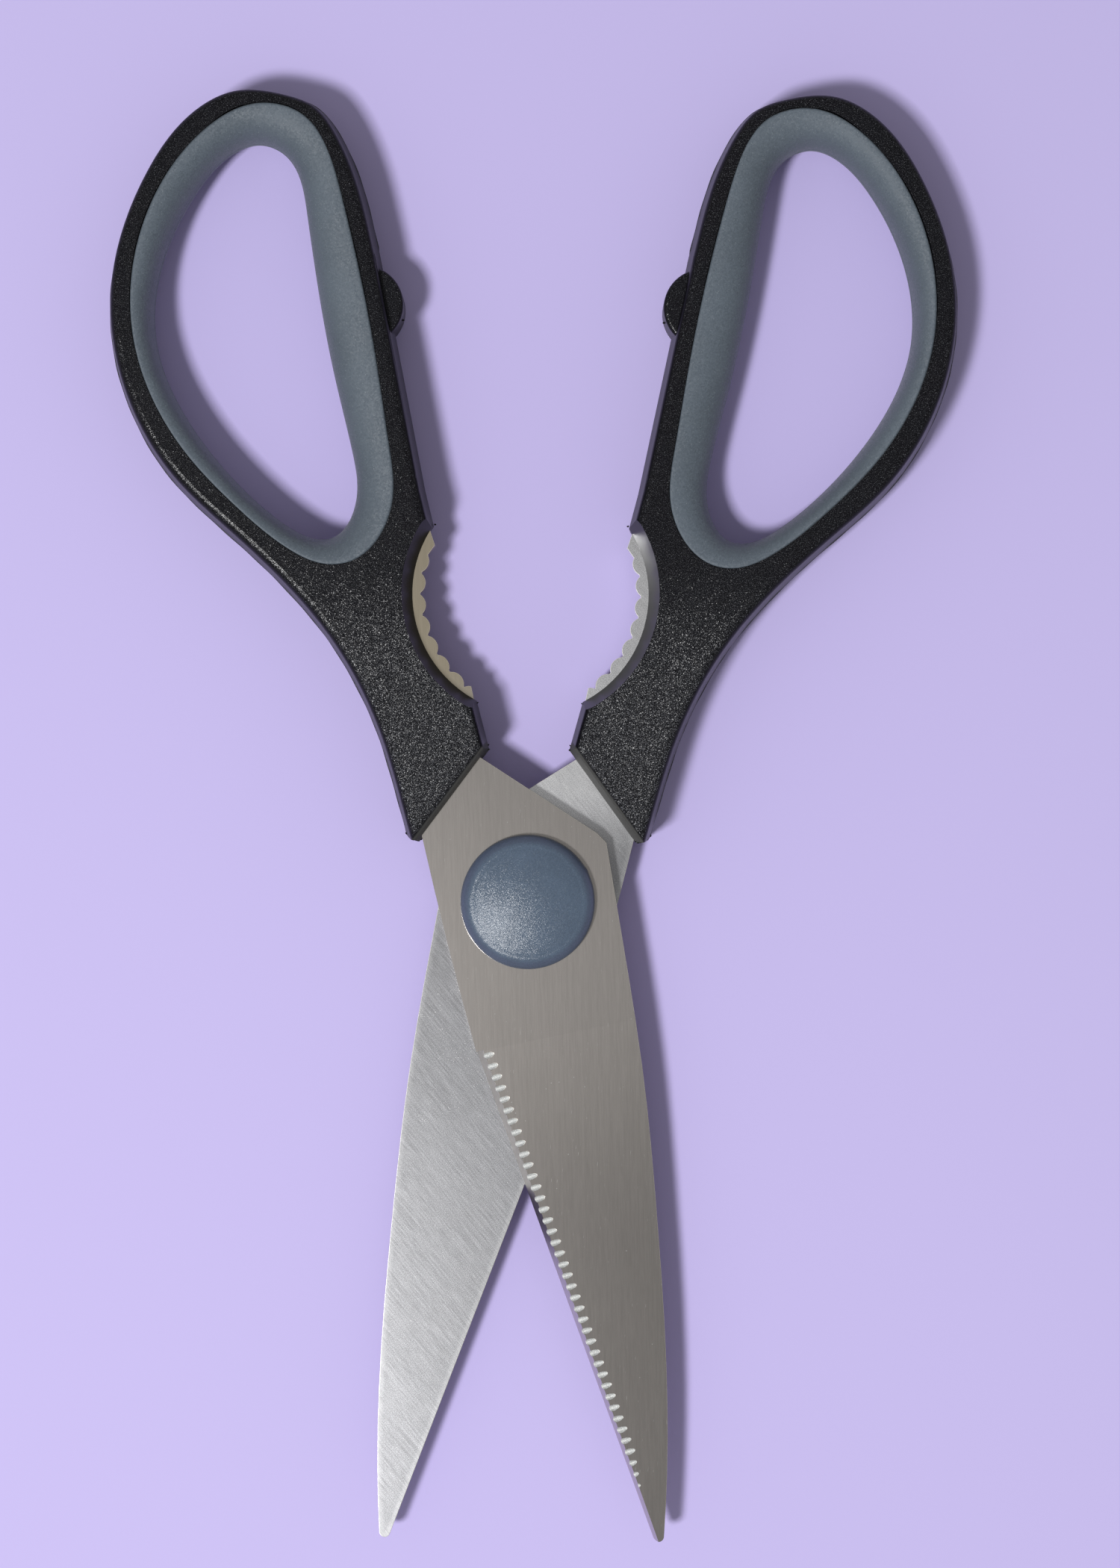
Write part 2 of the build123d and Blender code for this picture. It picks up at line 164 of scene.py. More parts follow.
def spline_points(knots: np.ndarray, per_span: int, closed: bool) -> np.ndarray:
    """Points on the cubic spline through the knots, the same number in each span.

    Formula: at each knot the curvature is the same from both sides, which gives one linear equation in the
    slope there and its two neighbours; an open spline's curvature is nil at its ends. Each span is then the
    Hermite cubic of its two knots and their slopes, stepped evenly.

    Args:
        knots: The points that the spline goes through, in the plane.
        per_span: Points in each span, its first knot among them.
        closed: Whether the spline joins its last knot to its first.

    Returns:
        The points; an open spline's last knot comes last.
    """
    course = np.concatenate([knots, knots[:1]]) if closed else knots
    steps = np.linalg.norm(np.diff(course, axis=0), axis=1)
    unit = np.eye(len(knots))
    ahead = (steps if closed else np.append(steps, steps[-1]))[:, None]
    behind = np.roll(ahead, 1)
    rise = (np.roll(knots, -1, axis=0) - knots) / ahead
    system = 2 * (ahead + behind) * unit
    system += ahead * np.roll(unit, -1, axis=1) + behind * np.roll(unit, 1, axis=1)
    target = 3 * (ahead * np.roll(rise, 1, axis=0) + behind * rise)
    if not closed:
        system[0] = 2 * unit[0] + unit[1]
        system[-1] = 2 * unit[-1] + unit[-2]
        target[0], target[-1] = 3 * rise[0], 3 * rise[-2]
    slopes = np.linalg.solve(system, target)
    slopes = np.concatenate([slopes, slopes[:1]]) if closed else slopes
    t = (np.arange(per_span) / per_span)[None, :, None]
    span = steps[:, None, None]
    inside = (
        (2 * t**3 - 3 * t**2 + 1) * course[:-1, None]
        + (t**3 - 2 * t**2 + t) * span * slopes[:-1, None]
        + (3 * t**2 - 2 * t**3) * course[1:, None]
        + (t**3 - t**2) * span * slopes[1:, None]
    ).reshape(-1, knots.shape[1])
    return inside if closed else np.concatenate([inside, knots[-1:]])


class Half(Enum):
    """The two halves of the shears."""

    FRONT = "front"
    REAR = "rear"

    @property
    def side(self) -> float:
        """Which way up this half lies: the rear half is the front one rolled over."""
        return 1.0 if self is Half.FRONT else -1.0

    @property
    def body(self) -> str:
        """The moving body that this half's pieces ride on."""
        return f"{self.value}_half"

    def node(self, kind: str) -> str:
        """The name of this half's piece of a kind."""
        return f"{self.value}_{kind}"


@dataclass(frozen=True)
class Lie:
    """How a half lies on the table, drawn closed and flat about the pivot in millimetres."""

    half: Half
    opening: float = 24.4
    lift: float = THICKNESS / 2

    def placed(self, drawn: np.ndarray) -> np.ndarray:
        """Carries drawn points to where the half lies.

        Formula: the rear half is first rolled over, so x and z change sign; then both are turned about the
        pivot by half the opening, each its own way, lifted to the middle plane and scaled to metres.

        Args:
            drawn: Points in the closed drawing, any shape that ends in three axes.

        Returns:
            The same points in the row frame, in metres.
        """
        side = self.half.side
        turn = side * math.radians(self.opening / 2)
        x, y, z = side * drawn[..., 0], drawn[..., 1], side * drawn[..., 2]
        cosine, sine = math.cos(turn), math.sin(turn)
        turned = [x * cosine - y * sine, x * sine + y * cosine, z + self.lift]
        return np.stack(turned, -1) * MM


# Finishes


class FinishNodes:
    """The node tree of one new material, with a short method for each kind of step."""

    def __init__(self, name: str) -> None:
        """Starts a material with its Object coordinates and its surface's own directions.

        Args:
            name: The material's name.
        """
        self.material = bpy.data.materials.new(name)
        self.material.use_nodes = True
        self.tree = self.material.node_tree
        self.place = self.add("ShaderNodeTexCoord", {})["Object"]
        self.geometry = self.add("ShaderNodeNewGeometry", {})

    def fill(self, node: bpy.types.Node, feeds: dict[str | int, Source]) -> bpy.types.NodeOutputs:
        """Joins outputs to a node's inputs, or writes plain values on them.

        Args:
            node: The node to feed.
            feeds: An output, a number, three numbers or a colour for each input, by its name or number.

        Returns:
            The node's outputs.
        """
        for key, source in feeds.items():
            socket = node.inputs[key]
            if isinstance(source, bpy.types.NodeSocket):
                self.tree.links.new(source, socket)
            else:
                socket.default_value = (*source, 1.0) if socket.type == "RGBA" else source
        return node.outputs

    def add(self, kind: str, feeds: dict[str | int, Source], **settings: Any) -> bpy.types.NodeOutputs:
        """A new node with its options set and its inputs fed.

        Args:
            kind: The type of node.
            feeds: What goes into its inputs, by their names or numbers.
            settings: Its options.

        Returns:
            The node's outputs.
        """
        node = self.tree.nodes.new(kind)
        for key, value in settings.items():
            setattr(node, key, value)
        return self.fill(node, feeds)

    def laid(self, size: Place, turn: float = 0.0, start: Pair = (0.0, 0.0)) -> Source:
        """Object coordinates counted in cells of a size, on axes turned about the upright.

        Args:
            size: Cell size along the turned x, y and z, in millimetres.
            turn: Turn of the axes in degrees, anticlockwise from above.
            start: Where the axes cross, in millimetres.

        Returns:
            The coordinates.
        """
        feeds = {
            "Vector": self.place,
            "Location": (start[0] * MM, start[1] * MM, 0.0),
            "Rotation": (0.0, 0.0, math.radians(turn)),
            "Scale": tuple(value * MM for value in size),
        }
        return self.add("ShaderNodeMapping", feeds, vector_type="TEXTURE")[0]

    def noise(self, vector: Source, detail: float = 2.0, rough: float = 0.5) -> Source:
        """Cloudy noise of about one cell, centred on a half."""
        feeds = {"Vector": vector, "Scale": 1.0, "Detail": detail, "Roughness": rough}
        return self.add("ShaderNodeTexNoise", feeds)[0]

    def grain(self, size: float, detail: float = 2.0, rough: float = 0.5) -> Source:
        """Noise in cells of one size, in millimetres."""
        return self.noise(self.laid((size,) * 3), detail, rough)

    def cells(self, size: Place, turn: float = 0.0) -> tuple[Source, Source]:
        """Scattered cells: the distance from the nearest one's middle, and its own chance number."""
        cell = self.add("ShaderNodeTexVoronoi", {"Vector": self.laid(size, turn), "Scale": 1.0})
        return cell["Distance"], self.add("ShaderNodeSeparateColor", {0: cell["Color"]})[0]

    def ranged(self, value: Source, low: float, high: float, start: float = 0.0, end: float = 1.0) -> Source:
        """A value stretched from one range to another, smoothly and held at both ends."""
        feeds = dict(enumerate((value, low, high, start, end)))
        return self.add("ShaderNodeMapRange", feeds, interpolation_type="SMOOTHSTEP")[0]

    def spread(self, noise: Source, start: float, end: float) -> Source:
        """A noise's usual run, from 0.3 to 0.7, stretched to another range."""
        return self.ranged(noise, 0.3, 0.7, start, end)

    def worked(self, operation: str, first: Source, second: Source = 0.0) -> Source:
        """One step of arithmetic on two numbers."""
        return self.add("ShaderNodeMath", {0: first, 1: second}, operation=operation)[0]

    def times(self, first: Source, second: Source) -> Source:
        """One number times another."""
        return self.worked("MULTIPLY", first, second)

    def plus(self, first: Source, second: Source) -> Source:
        """The sum of two numbers."""
        return self.worked("ADD", first, second)

    def tinted(self, amount: Source, first: Source, second: Source, way: str = "MIX") -> Source:
        """Two colours, or two normals, mixed by an amount."""
        feeds = {0: amount, 6: first, 7: second}
        return self.add("ShaderNodeMix", feeds, data_type="RGBA", blend_type=way)[2]

    def shaded(self, colour: Source, shade: Source) -> Source:
        """A colour times a shade."""
        return self.tinted(1.0, colour, shade, "MULTIPLY")

    def axis(self, vector: Source, index: int) -> Source:
        """One axis of a vector."""
        return self.add("ShaderNodeSeparateXYZ", {0: vector})[index]

    def vectors(self, operation: str, *sources: Source) -> bpy.types.NodeOutputs:
        """One step of arithmetic on vectors, its result as a vector first and as a number second."""
        return self.add("ShaderNodeVectorMath", dict(enumerate(sources)), operation=operation)

    def from_pivot(self) -> Source:
        """Distance from the pivot's axis, in metres."""
        flat = self.vectors("MULTIPLY", self.place, (1.0, 1.0, 0.0))[0]
        return self.vectors("LENGTH", flat)[1]

    def upright(self) -> Source:
        """How far the surface faces up: the height of its true normal."""
        return self.axis(self.geometry["True Normal"], 2)

    def edge_rounding(self, radius: float) -> tuple[Source, Source]:
        """A normal rounded over the piece's corners, and how far it departs there from the flat one.

        Args:
            radius: Radius of the rounding in millimetres.

        Returns:
            The rounded normal, and a mask that is one on a corner and nil away from it.
        """
        rounded = self.add("ShaderNodeBevel", {"Radius": radius * MM}, samples=10)[0]
        across = self.vectors("DOT_PRODUCT", rounded, self.geometry["True Normal"])[1]
        return rounded, self.ranged(across, 0.998, 0.975)

    def faceted(self, size: float, tilt: float) -> Source:
        """A normal that each small cell leans its own chance way, so that only a few catch the light.

        Args:
            size: Cell size in millimetres.
            tilt: How far a cell may lean, as a share of the normal's length.

        Returns:
            The leaning normal.
        """
        cell = self.add("ShaderNodeTexVoronoi", {"Vector": self.laid((size,) * 3), "Scale": 1.0})
        lean = self.vectors("MULTIPLY_ADD", cell["Color"], (2.0 * tilt,) * 3, (-tilt,) * 3)[0]
        total = self.vectors("ADD", lean, self.geometry["Normal"])[0]
        return self.vectors("NORMALIZE", total)[0]

    def raised(self, height: Source, depth: float, strength: float, normal: Source | None = None) -> Source:
        """A normal bent by a height.

        Args:
            height: The height, from nil to one.
            depth: What one is worth, in millimetres.
            strength: How much of it shows.
            normal: A normal to bend further.

        Returns:
            The bent normal.
        """
        feeds = {"Strength": strength, "Distance": depth * MM, "Height": height}
        if normal is not None:
            feeds["Normal"] = normal
        return self.add("ShaderNodeBump", feeds)[0]

    def coat(self, **feeds: Source) -> bpy.types.Material:
        """Feeds the shader, an underscore in a name standing for a space, and gives the finished material."""
        self.fill(self.tree.nodes["Principled BSDF"], {key.replace("_", " "): feeds[key] for key in feeds})
        return self.material


@dataclass(frozen=True)
class GroundSteel:
    """Blade steel: grinding lines, sparse scratches and specks, bright notches, painted highlights on its
    edges.
    """

    name: str
    base: Colour
    tang: Colour
    grain_turn: float
    contrast: float
    roughness: float
    gloss_spread: float
    relief: float
    scratches: float
    line_width: float
    line_length: float
    mottle: float
    # painted shade: how much darker the colour is painted towards the tip; below nil, lighter
    painted_tip_shade: float
    tang_from: float = 22.0
    speck_size: float = 1.05
    sparkle: float = 0.0
    border: float = 0.0
    border_radius: float = 1.3
    # the edge shine and the edge tone paint a highlight along the rounded edges
    edge_shine: float = 0.55
    edge_radius: float = 0.09
    cut_dullness: float = 0.52
    line_run: Pair = (0.34, 0.66)
    bright: Colour = (0.74, 0.74, 0.73)
    edge_highlight_tone: Colour = (0.84, 0.80, 0.70)
    bevel_tone: Colour = (0.56, 0.53, 0.51)
    notch_tones: tuple[Colour, Colour] = ((0.50, 0.51, 0.50), (0.74, 0.75, 0.74))
    keen: tuple[tuple[float, float, float, float], ...] = ()

    def grinding(self, sheet: FinishNodes) -> Source:
        """Grinding lines: noise stretched along the grain at three widths.

        Args:
            sheet: The finish's nodes.

        Returns:
            The lines, in shares that add up to one.
        """
        fine = sheet.noise(sheet.laid((self.line_width, self.line_length, 1.0), self.grain_turn), 2.0, 0.6)
        wide = sheet.noise(sheet.laid((2.6 * self.line_width, 9.0, 1.0), self.grain_turn), 1.0)
        cloud = sheet.noise(sheet.laid((7.0, 24.0, 10.0), self.grain_turn), 2.0)
        lines = sheet.plus(sheet.times(fine, 0.55), sheet.times(wide, 0.35))
        return sheet.plus(lines, sheet.times(cloud, 0.10))

    def marks(self, sheet: FinishNodes) -> Source:
        """Wear and painted glints: scratches two ways, where stretched noise peaks, then chance specks, and
        bright flakes that are painted glints.

        Args:
            sheet: The finish's nodes.

        Returns:
            How much of the bright tone shows.
        """
        along = sheet.noise(sheet.laid((0.10, 1.5, 1.0), self.grain_turn - 5.0, (7.0, 3.0)), 1.0)
        across = sheet.noise(sheet.laid((0.12, 1.9, 1.0), self.grain_turn + 62.0, (2.0, 9.0)), 1.0)
        scratch = sheet.worked("MAXIMUM", sheet.ranged(along, 0.74, 0.82), sheet.ranged(across, 0.82, 0.90))
        distance, chance = sheet.cells((self.speck_size, self.speck_size, 50.0), 20.0)
        speck = sheet.times(sheet.ranged(distance, 0.10, 0.05), sheet.ranged(chance, 0.80, 0.82))
        marks = sheet.times(sheet.worked("MAXIMUM", scratch, speck), self.scratches)
        if self.sparkle:
            # painted glints: bright flakes in patches, more of them towards the pivot
            painted_glint = sheet.ranged(sheet.noise(sheet.laid((0.17, 0.17, 1.0)), 1.0, 0.6), 0.66, 0.72)
            patch = sheet.ranged(sheet.noise(sheet.laid((3.6, 3.6, 9.0)), 1.0), 0.46, 0.62)
            near = sheet.ranged(sheet.axis(sheet.place, 1), -0.048, -0.022, 0.12, self.sparkle)
            marks = sheet.worked("MAXIMUM", marks, sheet.times(sheet.times(painted_glint, patch), near))
        return marks

    def tone(self, sheet: FinishNodes, lines: Source, mottle: Source) -> Source:
        """The steel's colour, shaded by its lines and mottle, with painted shade along the blade, and by its
        wear and painted glints.

        Args:
            sheet: The finish's nodes.
            lines: The grinding lines.
            mottle: Fine noise that breaks the lines up.

        Returns:
            The colour, before the cuts and the edges.
        """
        along = sheet.axis(sheet.place, 1)
        shade = sheet.ranged(lines, *self.line_run, 1.0 - self.contrast, 1.0 + self.contrast)
        shade = sheet.plus(shade, sheet.spread(mottle, -self.mottle, self.mottle))
        # painted shade: the colour darkens towards the tip by the painted tip shade; a share below nil
        # lightens it
        shade = sheet.worked("SUBTRACT", shade, sheet.ranged(along, 0.0, -0.052, 0.0, self.painted_tip_shade))
        on_tang = sheet.ranged(along, self.tang_from * MM, (self.tang_from + 12) * MM)
        steel = sheet.shaded(sheet.tinted(on_tang, self.base, self.tang), shade)
        return sheet.tinted(self.marks(sheet), steel, self.bright)

    def rounded_edges(self, sheet: FinishNodes) -> tuple[Source, Source]:
        """Rounded edges, which carry a painted highlight, except along the keen borders: each is a line at a
        place and a turn, with its breadth.

        Args:
            sheet: The finish's nodes.

        Returns:
            The rounded normal, and a mask of the edges.
        """
        rounded, edge = sheet.edge_rounding(self.edge_radius)
        for x, y, turn, breadth in self.keen:
            inland = sheet.axis(sheet.laid((1.0, 1.0, 1.0), turn, (x, y)), 0)
            away = sheet.ranged(inland, breadth, breadth + 0.6)
            edge = sheet.times(edge, away)
            rounded = sheet.tinted(away, sheet.geometry["Normal"], rounded)
        return rounded, edge

    def material(self) -> bpy.types.Material:
        """Lines shade the colour and bend the light. Notches and bevel are told by how far their faces lean:
        neither is level or upright, and the bevel is the steeper.

        Returns:
            The finish.
        """
        sheet = FinishNodes(self.name)
        lines = self.grinding(sheet)
        mottle = sheet.noise(sheet.laid((0.10, 0.14, 1.0), self.grain_turn), 1.0, 0.7)
        steel = self.tone(sheet, lines, mottle)
        tilt = sheet.upright()
        notch = sheet.times(sheet.ranged(tilt, 0.992, 0.985), sheet.ranged(tilt, 0.445, 0.460))
        bevel = sheet.times(sheet.ranged(tilt, 0.455, 0.445), sheet.ranged(tilt, 0.38, 0.41))
        steel = sheet.tinted(notch, steel, sheet.tinted(sheet.ranged(mottle, 0.35, 0.65), *self.notch_tones))
        steel = sheet.tinted(bevel, steel, self.bevel_tone)
        if self.border:
            near_edge = sheet.edge_rounding(self.border_radius)[1]
            steel = sheet.tinted(sheet.times(near_edge, self.border), steel, self.bright)
        rounded, edge = self.rounded_edges(sheet)
        # painted highlight: the edge mask tints the colour pale along the rounded edges
        steel = sheet.tinted(sheet.times(edge, self.edge_shine), steel, self.edge_highlight_tone)
        normal = sheet.raised(lines, 0.03, self.relief, rounded)
        low, high = self.roughness - self.gloss_spread, self.roughness + self.gloss_spread
        coarse = sheet.worked("MAXIMUM", sheet.worked("MAXIMUM", notch, edge), sheet.times(bevel, 0.12))
        ground = sheet.ranged(lines, *self.line_run, low, high)
        dull = sheet.plus(ground, sheet.times(coarse, self.cut_dullness))
        return sheet.coat(Base_Color=steel, Metallic=1.0, Roughness=dull, Normal=normal)


@dataclass(frozen=True)
class TurnedSteel:
    """Pivot hardware: bright steel with fine rings left by the lathe."""

    name: str = "pivot_steel_turned"
    base: Colour = (0.50, 0.50, 0.50)
    edge_highlight_tone: Colour = (0.80, 0.80, 0.78)
    pitch: float = 0.12
    roughness: float = 0.27

    def material(self) -> bpy.types.Material:
        """Rings are noise read along the distance from the pivot's axis.

        Returns:
            The finish.
        """
        sheet = FinishNodes(self.name)
        count = sheet.worked("DIVIDE", sheet.from_pivot(), self.pitch * MM)
        rings = sheet.noise(sheet.add("ShaderNodeCombineXYZ", {0: count})[0], 2.0, 0.6)
        shade = sheet.plus(sheet.spread(rings, 0.85, 1.08), sheet.spread(sheet.grain(3.0), -0.06, 0.06))
        rounded, edge = sheet.edge_rounding(0.1)
        # painted highlight: the edge mask tints the colour pale along the rounded edges
        steel = sheet.tinted(sheet.times(edge, 0.6), sheet.shaded(self.base, shade), self.edge_highlight_tone)
        normal = sheet.raised(rings, 0.02, 0.35, rounded)
        return sheet.coat(Base_Color=steel, Metallic=1.0, Roughness=self.roughness, Normal=normal)


@dataclass(frozen=True)
class SparkedPlastic:
    """Hard black plastic, spark-eroded: glittering grain and painted glints on level faces, smooth drafted
    walls.
    """

    half: Half
    base: Colour = (0.0024, 0.0023, 0.0040)
    glint: Colour = (0.39, 0.40, 0.43)
    # the collar's paler tone is a painted sheen of the smooth end face
    collar: Colour = (0.070, 0.070, 0.068)
    grain: float = 0.125
    lean: float = 0.36
    end_face: Pair = (16.57, 6.69)
    end_turn: float = 53.8
    collar_width: float = 0.95
    bright_to: float = 20.0
    dim_from: float = 52.0

    def material(self) -> bpy.types.Material:
        """Noise and cells of one size: the noise's peaks are paler, painted glints by each cell's chance;
        cells lean.
        The collar is a smooth strip along the end face, measured square to that face's line; its paler tone
        is painted sheen.

        Returns:
            The finish.
        """
        sheet = FinishNodes(self.half.node("handle_plastic_sparked"))
        start = (-self.half.side * self.end_face[0], self.end_face[1])
        inland = sheet.axis(sheet.laid((1.0, 1.0, 1.0), self.half.side * self.end_turn, start), 1)
        collar = sheet.ranged(inland, self.collar_width + 0.15, self.collar_width - 0.15)
        level = sheet.ranged(sheet.worked("ABSOLUTE", sheet.upright()), 0.74, 0.90)
        level = sheet.times(level, sheet.worked("SUBTRACT", 1.0, collar))
        # painted fall-off: the pale glints fade away from the pivot end; the facets lean less there too
        fade = sheet.ranged(sheet.axis(sheet.place, 1), self.dim_from * MM, self.bright_to * MM, 0.25, 1.0)
        glitter = sheet.times(level, fade)
        distance, chance = sheet.cells((self.grain,) * 3)
        fine = sheet.grain(self.grain, 1.0, 0.6)
        pale = sheet.worked("POWER", sheet.ranged(fine, 0.38, 0.80), 2.3)
        painted_glints = sheet.times(sheet.times(pale, sheet.ranged(chance, 0.25, 1.0, 0.25, 1.6)), glitter)
        shade = sheet.plus(sheet.spread(fine, 0.4, 1.8), sheet.spread(sheet.grain(6.0), -0.12, 0.12))
        # painted glints: pale spots in the colour, densest near the pivot end
        plastic = sheet.tinted(painted_glints, sheet.shaded(self.base, shade), self.glint)
        # painted sheen: the collar's paler tone
        plastic = sheet.tinted(collar, plastic, self.collar)
        leaning = sheet.tinted(glitter, sheet.geometry["Normal"], sheet.faceted(self.grain, self.lean))
        normal = sheet.raised(sheet.times(sheet.plus(distance, fine), level), 0.04, 0.25, leaning)
        dull = sheet.plus(sheet.ranged(level, 0.0, 1.0, 0.36, 0.21), sheet.times(collar, 0.36))
        return sheet.coat(Base_Color=plastic, Roughness=dull, Normal=normal, Specular_IOR_Level=0.20)


@dataclass(frozen=True)
class FlashPlastic:
    """The mould's flash: plastic squeezed thin, without the grain of the faces beside it."""

    name: str
    base: Colour
    grain: float = 0.25

    def material(self) -> bpy.types.Material:
        """One fine noise makes the shade uneven and dents the surface.

        Returns:
            The finish.
        """
        sheet = FinishNodes(self.name)
        fine = sheet.grain(self.grain, 3.0, 0.6)
        plastic = sheet.shaded(self.base, sheet.spread(fine, 0.7, 1.3))
        normal = sheet.raised(fine, 0.03, 0.5)
        return sheet.coat(Base_Color=plastic, Roughness=0.42, Normal=normal, Specular_IOR_Level=0.35)


@dataclass(frozen=True)
class SoftRubber:
    """Grey finger-loop lining: a fine even matte grain with a faint bloom."""

    name: str = "grip_rubber_satin"
    base: Colour = (0.094, 0.117, 0.144)
    glint_fleck: Colour = (0.30, 0.33, 0.35)
    grain: float = 0.16
    fleck_size: float = 0.21
    lean: float = 0.14

    def material(self) -> bpy.types.Material:
        """Grain is two sizes of noise with chance pale flecks that are painted glints, the bloom a third, far
        wider noise.

        Returns:
            The finish.
        """
        sheet = FinishNodes(self.name)
        fine, bloom = sheet.grain(self.grain, 2.0, 0.6), sheet.grain(9.0, 3.0)
        shade = sheet.plus(sheet.spread(fine, 0.90, 1.10), sheet.spread(bloom, -0.06, 0.06))
        distance, chance = sheet.cells((self.fleck_size,) * 3)
        glint_fleck = sheet.times(sheet.ranged(distance, 0.42, 0.15), sheet.ranged(chance, 0.80, 0.97, 0.0, 0.4))
        # painted glints: pale flecks in the colour
        rubber = sheet.tinted(glint_fleck, sheet.shaded(self.base, shade), self.glint_fleck)
        relief = sheet.plus(fine, sheet.times(sheet.grain(0.55), 0.6))
        normal = sheet.raised(relief, 0.025, 0.4, sheet.faceted(0.2, self.lean))
        dull = sheet.spread(bloom, 0.54, 0.64)
        return sheet.coat(
            Base_Color=rubber, Roughness=dull, Normal=normal, Sheen_Weight=0.08, Sheen_Roughness=0.5
        )


@dataclass(frozen=True)
class SpeckledCap:
    """Blue-grey cap plastic: speckled grain within the crease, partly painted glints, and a smoother, deeper
    coloured rim round it.
    """

    name: str = "cap_plastic_speckled"
    base: Colour = (0.082, 0.115, 0.166)
    rim: Colour = (0.066, 0.086, 0.134)
    glint_fleck: Colour = (0.46, 0.50, 0.52)
    fleck_size: float = 0.12
    fleck_share: float = 0.26
    crease: float = 8.5
    lean: float = 0.105

    def material(self) -> bpy.types.Material:
        """The rim starts at the crease's distance from the pivot; flecks are chance cells inside it, partly
        the plastic's speckle and partly painted glints.

        Returns:
            The finish.
        """
        sheet = FinishNodes(self.name)
        inside = sheet.ranged(sheet.from_pivot(), (self.crease + 0.30) * MM, (self.crease - 0.40) * MM)
        distance, chance = sheet.cells((self.fleck_size,) * 3)
        fine = sheet.grain(0.20, 3.0, 0.6)
        glint_fleck = sheet.times(sheet.ranged(distance, 0.45, 0.15), sheet.ranged(chance, 0.86, 0.98))
        shade = sheet.plus(sheet.spread(fine, 0.88, 1.12), sheet.spread(sheet.grain(4.0), -0.05, 0.05))
        plastic = sheet.shaded(sheet.tinted(inside, self.rim, self.base), shade)
        # partly painted glints: pale flecks in the colour inside the crease
        plastic = sheet.tinted(sheet.times(sheet.times(glint_fleck, inside), self.fleck_share), plastic, self.glint_fleck)
        leaning = sheet.tinted(inside, sheet.geometry["Normal"], sheet.faceted(0.105, self.lean))
        normal = sheet.raised(sheet.times(sheet.plus(distance, fine), inside), 0.04, 0.4, leaning)
        dull = sheet.ranged(inside, 0.0, 1.0, 0.36, 0.27)
        return sheet.coat(Base_Color=plastic, Roughness=dull, Normal=normal)


@dataclass(frozen=True)
class PalePaper:
    """The floor: plain pale lavender paper with the faintest tooth."""

    name: str = "floor_paper"
    base: Colour = (0.560, 0.490, 0.830)

    def material(self) -> bpy.types.Material:
        """Tooth is one fine noise, too small to draw a pattern.

        Returns:
            The finish.
        """
        sheet = FinishNodes(self.name)
        normal = sheet.raised(sheet.grain(0.5, 3.0, 0.6), 0.03, 0.3)
        return sheet.coat(Base_Color=self.base, Roughness=0.9, Normal=normal)


def dress(node: bpy.types.Object, material: bpy.types.Material) -> None:
    """Gives a piece one material in place of whatever it had."""
    node.data.materials.clear()
    node.data.materials.append(material)


# Pieces


